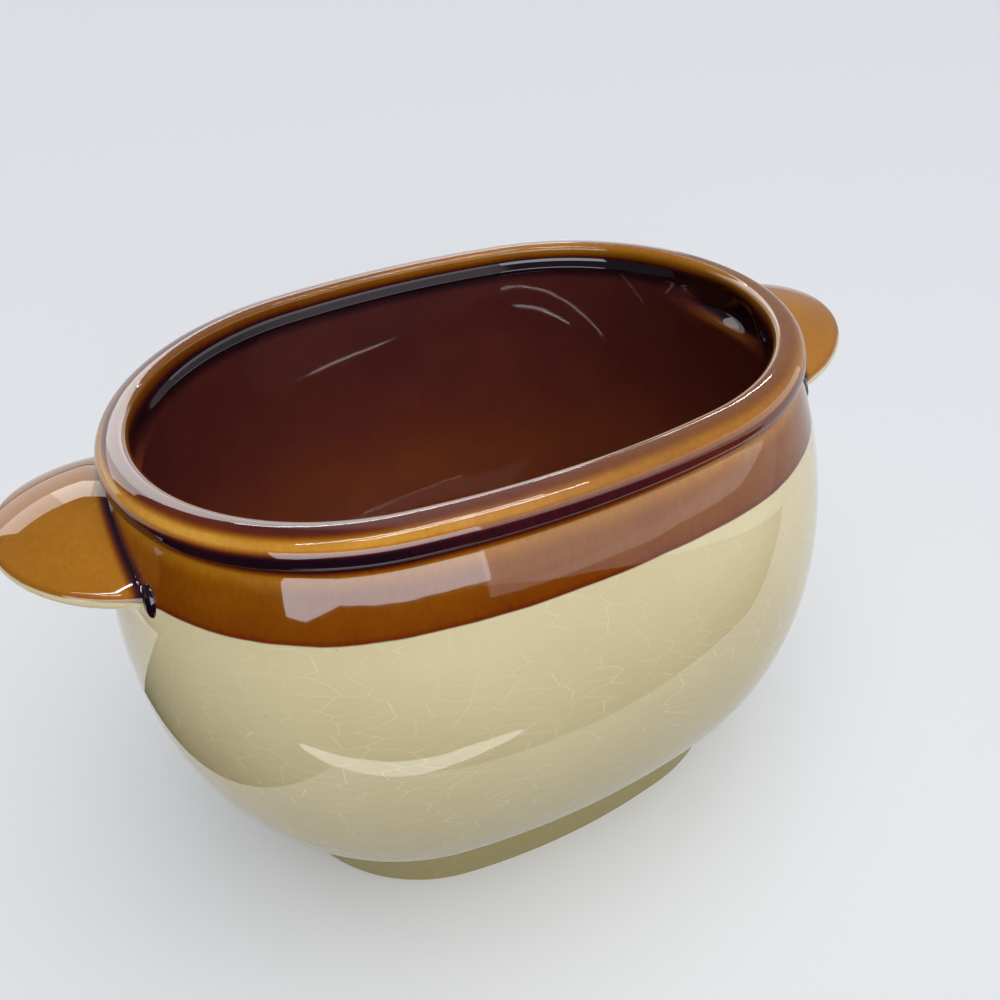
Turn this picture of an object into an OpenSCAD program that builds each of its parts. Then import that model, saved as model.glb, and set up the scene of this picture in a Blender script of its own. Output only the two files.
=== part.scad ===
// Gravy tureen: an oval stoneware bowl with a rolled rim, a foot ring and two lug handles.
// Brown glaze covers the inside, the rim, the neck and the lugs, and cream glaze the rest.
// Every ring of the bowl is parallel to one four-centred oval, the outer edge of the rim.
// Sizes are of the glazed surface, in millimetres, and the clay lies one glaze coat inside it.

/* [Rim] */
// Length of the oval over the rim
rim_l = 150; // [136:1:170]
// Width of the oval over the rim
rim_w = 111; // [100:1:122]
// How far the middle of each long side bows out past the round of the ends
side_bow = 1.8; // [1.2:0.1:3.5]
// Height of the tureen, from the table to the top of the rim
height = 122; // [112:1:134]
// Width of the rim, from its outer edge to its inner lip
rim_t = 6.8; // [6:0.1:8]
// Height of the rim above the groove under it
rim_h = 5.8; // [5.2:0.1:6.6]
// Depth of the groove under the rim
groove_in = 1.8; // [1.2:0.1:2.4]
// Radius of the rim's outer top edge
rim_edge_r = 1.7; // [1.3:0.1:2.2]
// Radius of the rim's inner lip
rim_lip_r = 1.6; // [1.3:0.1:2.2]
// Depth of the channel round the inside of the rim
channel_in = 1.2; // [0.8:0.1:1.6]

/* [Bowl] */
// How far the belly stands out past the rim
belly_out = 9.8; // [6:0.1:13]
// Height of the widest part of the belly
belly_z = 66; // [58:1:72]
// Thickness of the glazed wall
wall_t = 5.6; // [4.8:0.1:6.4]
// Thickness of the glazed floor
floor_t = 6.5; // [5:0.1:8]
// Radius between the wall and the floor inside
floor_r = 16; // [10:1:20]

/* [Foot] */
// Height of the foot ring
foot_h = 12.5; // [9:0.5:16]
// How far the top of the foot lies in from the rim's outer edge
foot_in = 9.2; // [7:0.1:12]
// How much wider the foot is at the table than at its top, on each side
foot_flare = 1.4; // [0:0.1:2.5]
// Width of the foot ring at its top
foot_ring_t = 6; // [4.5:0.1:8]
// Radius of the foot's two lower edges
foot_edge_r = 1.2; // [0.6:0.1:1.8]

/* [Lugs] */
// Radius of a lug, seen square to its face
lug_r = 25.5; // [21:0.5:28]
// Radius of a lug's domed top
lug_dome_r = 41; // [36:1:50]
// Radius of a lug's round edge
lug_edge_r = 2; // [1.6:0.1:2.6]
// How far a lug's middle lies in from the end of the rim
lug_in = 2.7; // [1:0.1:6]
// How far a lug's middle lies below the top of the rim
lug_drop = 19.2; // [18:0.1:24]
// How far a lug tips up towards its outer edge, in degrees
lug_tilt = 15; // [8:1:18]

/* [Hollows behind the lugs] */
// Width of the hollow behind each lug, along the inside of the wall
hollow_w = 34; // [26:1:38]
// Depth of the hollow into the wall
hollow_in = 3.4; // [2:0.1:3.6]
// Height of the hollow
hollow_h = 5.6; // [4:0.1:6]
// How far the middle of the hollow lies below the top of the rim
hollow_drop = 11.2; // [10:0.1:14]

/* [Glaze] */
// Thickness of every glaze coat
glaze_t = 0.5; // [0.3:0.1:0.8]
// How far the brown glaze comes down from the top of the rim
brown_drop = 18.6; // [15:0.1:22]
// Height of the bare clay above the table
bare_h = 1.6; // [1:0.1:3]

/* [Hidden] */
$fn = 180;
// Far enough to reach past the whole tureen
reach = 2 * (rim_l + height);

// The four-centred oval: round ends, and long sides of a larger radius.
// The radii are rounded to a thousandth so that the arcs meet exactly
end_r = in_thousandths(rim_w / 2 - side_bow);
end_x = rim_l / 2 - end_r;
side_y = (end_x * end_x - side_bow * side_bow) / (2 * side_bow);
side_r = in_thousandths(rim_w / 2 + side_y);
end_turn = in_thousandths(atan2(side_y, end_x));
side_turn = 90 - end_turn;
// Each swept arc runs on a little, and is then cut at the middle of the oval
spare_turn = 1;

// Radius left open round the axis of a filled end, well inside the lugs and hollows
core_r = 2;
// How far a swept section runs in over the flat middle that it joins
middle_lap = 4;

// Heights
groove_z = height - rim_h;
floor_z = foot_h + floor_t;
brown_z = height - brown_drop;

// The belly's two arcs meet at its widest part, and run up to the groove and down to the foot
upper_fall = belly_out + groove_in;
upper_r = (upper_fall * upper_fall + pow(groove_z - belly_z, 2)) / (2 * upper_fall);
lower_fall = belly_out + foot_in;
lower_r = (lower_fall * lower_fall + pow(belly_z - foot_h, 2)) / (2 * lower_fall);

// Centre of the arc that joins the wall to the floor inside
turn_r = lower_r - wall_t - floor_r;
turn_z = floor_z + floor_r;
turn_d = belly_out - lower_r + sqrt(turn_r * turn_r - pow(belly_z - turn_z, 2));

// The rim's outer face is an arc from the edge down to the groove
rim_edge_z = height - rim_edge_r;
rim_face_fall = rim_edge_z - groove_z;
rim_face_r = (groove_in * groove_in + rim_face_fall * rim_face_fall) / (2 * groove_in);

// The channel inside the rim runs from the lip down to the top of the wall
lip_z = height - rim_lip_r;
channel_half = (lip_z - groove_z) / 2;
channel_r = (channel_in * channel_in + channel_half * channel_half) / (2 * channel_in);
channel_z = groove_z + channel_half;

// A lug's section: a dome that runs into a round edge
lug_edge_x = lug_r - lug_edge_r;
lug_dome_z = -sqrt(pow(lug_dome_r - lug_edge_r, 2) - lug_edge_x * lug_edge_x);
lug_meet_z = -lug_dome_z * lug_edge_r / (lug_dome_r - lug_edge_r);
lug_x = rim_l / 2 - lug_in;
lug_z = height - lug_drop;

// The hollow behind a lug is the edge of a flat round disc
hollow_z = height - hollow_drop;
inner_end_r = end_r + wall_offset(-wall_t, hollow_z);
hollow_chord_x = sqrt(inner_end_r * inner_end_r - hollow_w * hollow_w / 4);
hollow_bulge = inner_end_r + hollow_in - hollow_chord_x;
hollow_r = (hollow_bulge * hollow_bulge + hollow_w * hollow_w / 4) / (2 * hollow_bulge);
hollow_x = end_x + inner_end_r + hollow_in - hollow_r;

function in_thousandths(size) = round(1000 * size) / 1000;

// Offset from the oval of the neck's surface, grown by grow, at height z
function wall_offset(grow, z) = belly_out - upper_r + sqrt(pow(upper_r + grow, 2) - pow(z - belly_z, 2));

// The oval, grown by the offset d
module oval(d) {
    for (side = [-1, 1])
        translate([side * end_x, 0]) circle(end_r + d);
    intersection() {
        translate([0, -side_y]) circle(side_r + d);
        translate([0, side_y]) circle(side_r + d);
        square([2 * (end_x + (end_r + d) * cos(end_turn)), reach], center = true);
    }
}

// Sweeps a section round a quarter of the oval: half an end, then half a long side.
// In a section x is the offset from the oval and y the height
module sweep_quarter() {
    intersection() {
        translate([end_x, 0, 0]) rotate(end_turn) {
            rotate_extrude(start = -end_turn - spare_turn, angle = end_turn + spare_turn)
                translate([end_r, 0]) children();
            translate([end_r - side_r, 0, 0]) rotate_extrude(start = 0, angle = side_turn + spare_turn)
                translate([side_r, 0]) children();
        }
        translate([0, 0, -reach / 2]) cube(reach);
    }
}

// Sweeps a section round the whole oval
module sweep() {
    for (turn_x = [0, 1])
        for (turn_y = [0, 1])
            mirror([turn_x, 0, 0]) mirror([0, turn_y, 0]) sweep_quarter() children();
}

// Part of a section between two heights
module between(low, high) {
    intersection() {
        children();
        translate([-reach, low]) square([2 * reach, high - low]);
    }
}

// Part of a section that lies outside the offset d
module outside(d) {
    intersection() {
        children();
        translate([d, -reach]) square([reach, 2 * reach]);
    }
}

// Section within the belly's surface grown by grow, between two heights
module belly_section(grow, low, high) {
    if (high > belly_z)
        between(max(low, belly_z), high)
            translate([belly_out - upper_r, belly_z]) circle(upper_r + grow);
    if (low < belly_z)
        between(low, min(high, belly_z))
            translate([belly_out - lower_r, belly_z]) circle(lower_r + grow);
}

// Section of the space inside the bowl, as glazed or with the glaze coat taken off
module space_section(coat) {
    meet_z = belly_z - (belly_z - turn_z) * (lower_r - wall_t + coat) / turn_r;
    belly_section(coat - wall_t, meet_z, groove_z);
    translate([turn_d, turn_z]) circle(floor_r + coat);
    translate([turn_d - middle_lap, floor_z - coat]) square([middle_lap, groove_z - floor_z + coat]);
}

// Section of the rim, as glazed or with the glaze coat taken off
module rim_section(coat) {
    lip_x = rim_lip_r - rim_t;
    ridge_x = wall_offset(coat - wall_t, groove_z);
    outside(lip_x) between(groove_z, rim_edge_z)
        translate([-rim_face_r, rim_edge_z]) circle(rim_face_r - coat);
    translate([-rim_edge_r, rim_edge_z]) circle(rim_edge_r - coat);
    translate([lip_x, lip_z]) circle(rim_lip_r - coat);
    translate([lip_x, groove_z]) square([-rim_edge_r - lip_x, rim_h - coat]);
    difference() {
        translate([ridge_x, groove_z]) square([lip_x - ridge_x, lip_z - groove_z]);
        translate([channel_in - rim_t - channel_r, channel_z]) circle(channel_r + coat);
        translate([ridge_x, channel_z]) square([coat - rim_t - ridge_x, channel_half]);
    }
}

// Offset of the foot's outer face at height z
function foot_offset(z) = foot_flare * (1 - z / foot_h) - foot_in;

// Section of the foot ring's clay
module foot_section() {
    outer_top = foot_offset(foot_h) - glaze_t;
    outer_low = foot_offset(foot_edge_r) - glaze_t;
    inner = -foot_in - foot_ring_t;
    polygon([
        [inner, foot_h], [outer_top, foot_h], [outer_low, foot_edge_r],
        [outer_low - foot_edge_r, 0], [inner + foot_edge_r, 0], [inner, foot_edge_r]
    ]);
    translate([outer_low - foot_edge_r, foot_edge_r]) circle(foot_edge_r);
    translate([inner + foot_edge_r, foot_edge_r]) circle(foot_edge_r);
}

// Solid end of the bowl, filled nearly to the end's own axis, within the section it is given
module end_core(side) {
    mirror([side > 0 ? 0 : 1, 0, 0]) translate([end_x, 0, 0])
        rotate_extrude(start = -end_turn, angle = 2 * end_turn)
            translate([end_r, 0]) outside(core_r - end_r) children();
}

// Moves a shape from a lug's own axes to one end of the bowl
module at_lug(side) {
    rotate(side > 0 ? 0 : 180)
        translate([lug_x, 0, lug_z]) rotate([0, -lug_tilt, 0]) children();
}

// Whole domed disc that a lug is a part of, as glazed or with the glaze coat taken off
module lug_disc(side, coat) {
    at_lug(side) rotate_extrude() outside(0) {
        between(lug_meet_z, reach) translate([0, lug_dome_z]) circle(lug_dome_r - coat);
        translate([lug_edge_x, 0]) circle(lug_edge_r - coat);
        translate([0, coat - lug_edge_r]) square([lug_edge_x, lug_meet_z + lug_edge_r - coat]);
    }
}

// Round disc that hollows the wall behind a lug, as glazed or with the glaze coat taken off
module lug_hollow(side, coat) {
    half = hollow_h / 2;
    translate([side * hollow_x, 0, hollow_z]) rotate_extrude() outside(0) {
        translate([hollow_r - half, 0]) circle(half + coat);
        translate([0, -half - coat]) square([hollow_r - half, hollow_h + 2 * coat]);
    }
}

// Solid of the section it is given, swept round the oval and filled in the middle between two heights
module filled_sweep(low, high) {
    sweep() outside(turn_d - middle_lap) children();
    translate([0, 0, low]) linear_extrude(high - low) oval(turn_d - middle_lap / 2);
}

// Space inside the bowl and behind the lugs, as glazed or with the glaze coat taken off
module bowl_space(coat) {
    filled_sweep(floor_z - coat, groove_z) space_section(coat);
    for (side = [-1, 1]) lug_hollow(side, coat);
}

// One lug handle, seated on the neck
module lug(side) {
    difference() {
        lug_disc(side, glaze_t);
        end_core(side) belly_section(-glaze_t, foot_h, groove_z);
    }
}

// Glaze coat of one lug, the part above the edge's middle or the part below it
module lug_glaze(side, above) {
    difference() {
        lug_disc(side, 0);
        lug_disc(side, glaze_t);
        end_core(side) belly_section(-glaze_t, foot_h, groove_z);
        at_lug(side) translate([-reach, -reach, above ? -2 * reach : 0]) cube(2 * reach);
    }
}

// Glaze coat of the bowl's outside between two heights, cut back round the lugs
module outside_glaze(low, high) {
    difference() {
        sweep() difference() {
            outside(turn_d) belly_section(0, low, high);
            belly_section(-glaze_t, low, high);
        }
        for (side = [-1, 1]) lug_disc(side, 0);
    }
}

// Clay floor, belly and neck
module bowl_body() {
    color("tan") difference() {
        filled_sweep(foot_h, groove_z) belly_section(-glaze_t, foot_h, groove_z);
        bowl_space(glaze_t);
    }
}

// Clay roll round the mouth
module rim_bead() {
    color("tan") sweep() rim_section(glaze_t);
}

// Clay ring that the tureen stands on
module foot_ring() {
    color("tan") sweep() foot_section();
}

module left_lug() { color("tan") lug(-1); }

module right_lug() { color("tan") lug(1); }

// Cream coat of the foot's side
module foot_cream_glaze() {
    color("palegoldenrod") sweep() polygon([
        [foot_offset(foot_h) - glaze_t, foot_h], [foot_offset(foot_h), foot_h],
        [foot_offset(bare_h), bare_h], [foot_offset(bare_h) - glaze_t, bare_h]
    ]);
}

module belly_cream_glaze() { color("palegoldenrod") outside_glaze(foot_h, brown_z); }

module neck_brown_glaze() { color("saddlebrown") outside_glaze(brown_z, groove_z); }

// Brown coat of the rim, over its top and down both sides
module rim_brown_glaze() {
    color("sienna") sweep() difference() {
        rim_section(0);
        rim_section(glaze_t);
    }
}

// Brown coat of the inside, the floor and the two hollows
module inside_brown_glaze() {
    color("maroon") difference() {
        bowl_space(glaze_t);
        bowl_space(0);
    }
}

module left_lug_brown_glaze() { color("sienna") lug_glaze(-1, true); }

module right_lug_brown_glaze() { color("sienna") lug_glaze(1, true); }

module left_lug_cream_glaze() { color("palegoldenrod") lug_glaze(-1, false); }

module right_lug_cream_glaze() { color("palegoldenrod") lug_glaze(1, false); }

bowl_body();
rim_bead();
foot_ring();
left_lug();
right_lug();
foot_cream_glaze();
belly_cream_glaze();
neck_brown_glaze();
rim_brown_glaze();
inside_brown_glaze();
left_lug_brown_glaze();
right_lug_brown_glaze();
left_lug_cream_glaze();
right_lug_cream_glaze();
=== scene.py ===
"""Gravy tureen: an oval stoneware bowl with a rolled rim, a foot ring and two lug handles.

The glazed surfaces are profiles spun round the four arcs of the rim's oval. Their vertices carry up to
three attributes for the finish: glaze, from 0 where the brown glaze is drawn thin to 1 where it pools,
and in the rim's channel and the hollows behind the lugs also standing for painted shade; dip, the height
in millimetres above the line to which the pot was dipped in brown; and round, the length in millimetres
along the rim's oval, on which the craze lines are laid out.
"""
import math

import bmesh
import bpy
import numpy as np
from mathutils import Matrix, Vector


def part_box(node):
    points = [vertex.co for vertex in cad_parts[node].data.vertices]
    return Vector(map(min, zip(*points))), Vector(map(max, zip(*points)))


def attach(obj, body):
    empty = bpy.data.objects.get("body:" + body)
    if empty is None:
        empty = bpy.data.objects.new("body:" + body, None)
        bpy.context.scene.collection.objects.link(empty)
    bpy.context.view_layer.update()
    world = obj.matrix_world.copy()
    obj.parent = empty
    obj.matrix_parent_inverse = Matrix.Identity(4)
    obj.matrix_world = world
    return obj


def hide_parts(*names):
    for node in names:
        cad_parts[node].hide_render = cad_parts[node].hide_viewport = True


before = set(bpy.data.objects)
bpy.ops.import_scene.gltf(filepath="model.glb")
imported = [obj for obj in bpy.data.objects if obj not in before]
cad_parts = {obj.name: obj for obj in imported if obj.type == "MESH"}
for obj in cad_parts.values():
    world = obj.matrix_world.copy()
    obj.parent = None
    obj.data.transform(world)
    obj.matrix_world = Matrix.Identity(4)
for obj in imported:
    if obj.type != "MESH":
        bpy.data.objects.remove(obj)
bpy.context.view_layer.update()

MM = 0.001

# Sizes that the frame gives
rim_low, rim_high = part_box("rim_brown_glaze")
neck_low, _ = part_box("neck_brown_glaze")
belly_low, belly_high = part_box("belly_cream_glaze")
foot_low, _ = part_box("foot_cream_glaze")
TOP_Z = rim_high.z
GROOVE_Z = rim_low.z
BROWN_Z = neck_low.z
FOOT_Z = belly_low.z
BARE_Z = foot_low.z
HALF_W = rim_high.y
BELLY_OUT = belly_high.y - HALF_W

# Sizes of the rim, in metres as everything here
HALF_L = 75 * MM
SIDE_BOW = 1.8 * MM
RIM_WIDTH = 6.8 * MM
GROOVE_IN = 1.8 * MM
EDGE_R = 4.2 * MM
LIP_R = 1.6 * MM
CHANNEL_R = 4.5 * MM
RIDGE_R = 1.2 * MM
RIDGE_Z = GROOVE_Z - 0.3 * MM
CROWN_R = 20 * MM

# Sizes of the bowl and the foot
BELLY_Z = 66 * MM
WALL = 5.6 * MM
FLOOR_THICK = 6.5 * MM
FLOOR_R = 16 * MM
FOOT_IN = 9.2 * MM
FOOT_FLARE = 1.4 * MM
FOOT_WIDTH = 6 * MM
FOOT_EDGE_R = 1.2 * MM
COAT = 0.5 * MM

# Sizes of the lugs and of the hollows behind them
LUG_R = 25.5 * MM
LUG_DOME_R = 41 * MM
LUG_EDGE_R = 2 * MM
LUG_IN = 2.7 * MM
LUG_DROP = 19.2 * MM
LUG_TILT = math.radians(15)
HOLLOW_WIDTH = 34 * MM
HOLLOW_IN = 3.4 * MM
HOLLOW_HIGH = 5.6 * MM
HOLLOW_DROP = 11.2 * MM

# The four-centred oval of the rim
END_R = HALF_W - SIDE_BOW
END_X = HALF_L - END_R
SIDE_Y = (END_X ** 2 - SIDE_BOW ** 2) / (2 * SIDE_BOW)
SIDE_R = HALF_W + SIDE_Y
END_TURN = math.atan2(SIDE_Y, END_X)
SIDE_TURN = math.pi - 2 * END_TURN
HALF_ROUND = SIDE_R * SIDE_TURN + 2 * END_R * END_TURN

# The belly's two arcs, above and below its widest part
UPPER_FALL = BELLY_OUT + GROOVE_IN
UPPER_R = (UPPER_FALL ** 2 + (GROOVE_Z - BELLY_Z) ** 2) / (2 * UPPER_FALL)
LOWER_FALL = BELLY_OUT + FOOT_IN
LOWER_R = (LOWER_FALL ** 2 + (BELLY_Z - FOOT_Z) ** 2) / (2 * LOWER_FALL)

# The inside's turn from the wall to the floor
FLOOR_Z = FOOT_Z + FLOOR_THICK
TURN_Z = FLOOR_Z + FLOOR_R
TURN_REACH = LOWER_R - WALL - FLOOR_R
TURN_D = BELLY_OUT - LOWER_R + math.sqrt(TURN_REACH ** 2 - (BELLY_Z - TURN_Z) ** 2)

# Arcs of the rim's section: outer edge and inner lip under the crown, ridge, and channel between them
RIM_MIDDLE = (LIP_R - RIM_WIDTH - EDGE_R) / 2
CROWN_REACH = -EDGE_R - RIM_MIDDLE
EDGE_TILT = math.asin(CROWN_REACH / (CROWN_R - EDGE_R))
LIP_TILT = math.asin(CROWN_REACH / (CROWN_R - LIP_R))
EDGE_Z = TOP_Z - CROWN_R + (CROWN_R - EDGE_R) * math.cos(EDGE_TILT)
LIP_Z = TOP_Z - CROWN_R + (CROWN_R - LIP_R) * math.cos(LIP_TILT)
LIP_D = LIP_R - RIM_WIDTH
FACE_R = (GROOVE_IN ** 2 + (EDGE_Z - GROOVE_Z) ** 2) / (2 * GROOVE_IN)
INNER_R = UPPER_R - WALL
RIDGE_D = BELLY_OUT - UPPER_R + math.sqrt((INNER_R + RIDGE_R) ** 2 - (RIDGE_Z - BELLY_Z) ** 2)

# A lug's own axes: its middle, and the centre of its dome below
LUG_EDGE_X = LUG_R - LUG_EDGE_R
LUG_DOME_Z = -math.sqrt((LUG_DOME_R - LUG_EDGE_R) ** 2 - LUG_EDGE_X ** 2)
LUG_MIDDLE = Vector((HALF_L - LUG_IN, 0, TOP_Z - LUG_DROP))

# Height above which the inside has a fine mesh, for the hollows behind the lugs
FINE_Z = GROOVE_Z - 14 * MM
# Lengths of mesh edges along a profile and round the oval, and distance within which points are one
FINE_STEP = 0.35 * MM
PROFILE_STEP = 1.0 * MM
HIDDEN_STEP = 3.0 * MM
OUTSIDE_STEP = 0.7 * MM
ROUND_STEP = 1.0 * MM
WELD = 0.01 * MM

# How deep the brown glaze lies: drawn thin over edges, even on the neck, pooled in hollows, and in the
# hollows inside also painted shade
THIN = 0.08
LUG_DEPTH = 0.24
INSIDE_DEPTH = 0.4
LIP_DEPTH = 0.45
EVEN = 0.47
FULL = 0.7
POOLED = 1.0
# What less glaze takes off at the right-hand end: from the depth of a coat, and as a share of a pool
RUN_COAT = 0.25
RUN_POOL = 0.4
# A dip value far below the line, in millimetres, and the line's height on a lug's edge
FAR_BELOW = -50
LUG_LINE = 0.6
# Core and reach of the pool where a lug meets the neck, and reach of the glaze that rounds out that corner
POOL_CORE = 0.6 * MM
POOL_REACH = 2.6 * MM
CORNER_REACH = 4.5 * MM
# Reach of the glaze that rounds out the groove under the rim
GROOVE_REACH = 2.2 * MM
# Drop of glaze that hangs from the corner below each lug's front and back edge
DROP_Y = 26.2 * MM
DROP_Z = BROWN_Z + 0.3 * MM
DROP_WIDE = 2.0 * MM
DROP_HIGH = 3.3 * MM
DROP_OUT = 1.1 * MM
DROP_LEAN = math.radians(12)
DROP_TIP = math.radians(-18)
# Reach of the rounding round the hollows behind the lugs
HOLLOW_ROUND = 3.0 * MM
# How far a hollow draws in again for each unit of height above its middle, up to the channel
HOLLOW_LEAN = 0.5
# Swelling of the inside wall just below each hollow
MOUND_OUT = 0.7 * MM
MOUND_Z = TOP_Z - 14.7 * MM
MOUND_HIGH = 3.0 * MM
MOUND_WIDE = 17 * MM


def steps_for(length, step):
    """Number of mesh edges for a stretch of that length."""
    return max(2, math.ceil(length / step))


def smooth_step(low, high, value):
    """0 below low, 1 above high and a smooth rise between them."""
    share = np.clip((value - low) / (high - low), 0, 1)
    return share * share * (3 - 2 * share)


def touching_centre(first, first_reach, second, second_reach):
    """Centre at given distances from two points of a section, on the left of the way between them."""
    way = Vector(second) - Vector(first)
    along = (first_reach ** 2 - second_reach ** 2 + way.length_squared) / (2 * way.length)
    aside = math.sqrt(first_reach ** 2 - along ** 2)
    ahead = way.normalized()
    return Vector(first) + ahead * along + Vector((-ahead.y, ahead.x)) * aside


def wall_offset(grow, z):
    """Offset from the rim's oval of the bowl's outside, grown by grow, at the heights z."""
    radius = np.where(z > BELLY_Z, UPPER_R, LOWER_R)
    return BELLY_OUT - radius + np.sqrt((radius + grow) ** 2 - (z - BELLY_Z) ** 2)


def oval_frame(places):
    """Offsets from the rim's oval, and outward directions, of points given as an array."""
    x = places[:, 0]
    y = places[:, 1]
    at_end = np.arctan2(np.abs(y), np.abs(x) - END_X) <= END_TURN
    middle_x = np.where(at_end, np.sign(x) * END_X, 0)
    middle_y = np.where(at_end, 0, -np.sign(y) * SIDE_Y)
    arm = np.stack([x - middle_x, y - middle_y], axis=1)
    reach = np.linalg.norm(arm, axis=1)
    return reach - np.where(at_end, END_R, SIDE_R), arm / reach[:, None]


def oval_length(places):
    """Length along the rim's oval from the middle of the front, positive to the right, in millimetres."""
    x = np.abs(places[:, 0])
    y = np.abs(places[:, 1])
    turn = np.arctan2(y, x - END_X)
    at_side = SIDE_R * np.arctan2(x, y + SIDE_Y)
    at_end = SIDE_R * SIDE_TURN / 2 + END_R * (END_TURN - turn)
    quarter = np.where(turn <= END_TURN, at_end, at_side)
    away = np.where(places[:, 1] > 0, HALF_ROUND - quarter, quarter)
    return np.where(places[:, 0] < 0, -away, away) / MM


def run_off(places):
    """How little of the brown glaze ran to a place: 0 at the left-hand end to 1 at the right."""
    return smooth_step(-45 * MM, 45 * MM, places[:, 0])


def fillet(gap, reach):
    """How far glaze fills out a corner, at distances from it."""
    return reach / 4 * np.clip(1 - gap / reach, 0, 1) ** 2


def last_vertex(made):
    """The vertex at which a spin of one vertex ended."""
    return next(part for part in made["geom_last"] if isinstance(part, bmesh.types.BMVert))


class Profile:
    """A line of mesh edges in the plane of a section, run on from its tip by arcs and straights."""

    def __init__(self, d, z):
        self.mesh = bmesh.new()
        self.first = self.mesh.verts.new((HALF_L + float(d), 0, z))
        self.tip = self.first

    def straight(self, d, z, step=PROFILE_STEP):
        """Runs on straight to the offset d and the height z."""
        goal = Vector((HALF_L + float(d), 0, z))
        way = goal - self.tip.co
        count = steps_for(way.length, step)
        for _ in range(count):
            made = bmesh.ops.extrude_vert_indiv(self.mesh, verts=[self.tip])
            self.tip = made["verts"][0]
            self.tip.co += way / count
        return self

    def arc(self, d, z, turn, step=PROFILE_STEP):
        """Runs on round the centre at d and z, by turn degrees, positive from outwards to up."""
        centre = Vector((HALF_L + d, 0, z))
        angle = math.radians(turn)
        count = steps_for(abs(angle) * (self.tip.co - centre).length, step)
        made = bmesh.ops.spin(
            self.mesh, geom=[self.tip], cent=centre, axis=(0, -1, 0), angle=angle, steps=count
        )
        self.tip = last_vertex(made)
        return self

    def arc_to(self, d, z, height, step=PROFILE_STEP):
        """Runs on round the centre at d and z, on the outer side, until it reaches the height."""
        arm = self.tip.co - Vector((HALF_L + d, 0, z))
        start = math.atan2(arm.z, arm.x)
        end = math.asin(max(-1, min(1, (height - z) / arm.length)))
        return self.arc(d, z, math.degrees(end - start), step)

    def close(self):
        """Joins the tip to the first point."""
        self.mesh.edges.new((self.tip, self.first))
        return self


def spin_round_oval(mesh):
    """Spins a profile round a quarter of the oval, from its right-hand end, and mirrors that twice."""
    geom = mesh.verts[:] + mesh.edges[:]
    arcs = (((END_X, 0, 0), END_TURN, END_R), ((0, -SIDE_Y, 0), SIDE_TURN / 2, SIDE_R))
    for centre, turn, radius in arcs:
        steps = steps_for(turn * radius, ROUND_STEP)
        made = bmesh.ops.spin(mesh, geom=geom, cent=centre, axis=(0, 0, 1), angle=turn, steps=steps)
        geom = made["geom_last"]
    for axis in ("Y", "X"):
        half = mesh.verts[:] + mesh.edges[:] + mesh.faces[:]
        bmesh.ops.mirror(mesh, geom=half, axis=axis, merge_dist=WELD)
    bmesh.ops.remove_doubles(mesh, verts=mesh.verts, dist=WELD)
    bmesh.ops.recalc_face_normals(mesh, faces=mesh.faces)


def close_floor(mesh):
    """Fills the openings that a spun profile leaves round the middle, and points all faces outwards."""
    open_edges = [edge for edge in mesh.edges if edge.is_boundary]
    bmesh.ops.holes_fill(mesh, edges=open_edges, sides=0)
    bmesh.ops.recalc_face_normals(mesh, faces=mesh.faces)


def make_piece(name, mesh, material, nodes):
    """Turns a bmesh into a named piece that rides on the tureen and stands for CAD nodes."""
    data = bpy.data.meshes.new(name)
    mesh.to_mesh(data)
    mesh.free()
    data.shade_smooth()
    data.set_sharp_from_angle(angle=math.radians(40))
    data.materials.append(material)
    piece = bpy.data.objects.new(name, data)
    bpy.context.scene.collection.objects.link(piece)
    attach(piece, "root")
    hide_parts(*nodes)
    return piece


def vertex_places(data):
    """Places of a mesh's vertices, as an array."""
    places = np.empty(len(data.vertices) * 3)
    data.vertices.foreach_get("co", places)
    return places.reshape(-1, 3)


def move_vertices(data, places):
    """Moves a mesh's vertices to the places in an array."""
    data.vertices.foreach_set("co", places.ravel())


def set_attribute(data, name, values):
    """Gives each vertex of a mesh one number under that name."""
    layer = data.attributes.new(name, "FLOAT", "POINT")
    layer.data.foreach_set("value", np.asarray(values, np.float32))


def lug_frame(side):
    """Matrix from a lug's own axes to the tureen's, for the lug at that end."""
    place = Matrix.Translation(LUG_MIDDLE) @ Matrix.Rotation(-LUG_TILT, 4, "Y")
    return place if side > 0 else Matrix.Rotation(math.pi, 4, "Z") @ place


def lug_gap(places):
    """Distance of points to the nearer lug's glazed surface, negative inside it."""
    ahead = places * np.where(places[:, :1] < 0, [[-1, -1, 1]], [[1, 1, 1]])
    back = np.array(lug_frame(1).inverted())
    local = ahead @ back[:3, :3].T + back[:3, 3]
    across = np.hypot(local[:, 0], local[:, 1])
    dome = np.hypot(across, local[:, 2] - LUG_DOME_Z) - LUG_DOME_R
    under = -LUG_EDGE_R - local[:, 2]
    edge = np.hypot(across - LUG_EDGE_X, local[:, 2]) - LUG_EDGE_R
    return np.where(across > LUG_EDGE_X, edge, np.maximum(dome, under))


# Materials


def linear(text):
    """Linear colour of an sRGB hex value."""
    parts = [int(text[place:place + 2], 16) / 255 for place in (1, 3, 5)]
    return [p / 12.92 if p <= 0.04045 else ((p + 0.055) / 1.055) ** 2.4 for p in parts] + [1]


def add_node(tree, kind, inputs=None, stops=None, **settings):
    """Adds a node, gives it its settings and ramp stops, and fills or links its inputs.

    Inputs go by name or number. Map Range: 0 is the value, 1 and 2 its range, 3 and 4 the range it is
    mapped to. Mix: 0 is the share, 2 and 3 the two numbers, 6 and 7 the two colours.
    """
    node = tree.nodes.new(kind)
    for name, value in settings.items():
        setattr(node, name, value)
    for key, value in (inputs or {}).items():
        if isinstance(value, bpy.types.NodeSocket):
            tree.links.new(value, node.inputs[key])
        else:
            node.inputs[key].default_value = value
    if stops:
        ramp = node.color_ramp
        while len(ramp.elements) < len(stops):
            ramp.elements.new(1)
        for element, (place, colour) in zip(ramp.elements, stops):
            element.position = place
            element.color = linear(colour)
    return node


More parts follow.
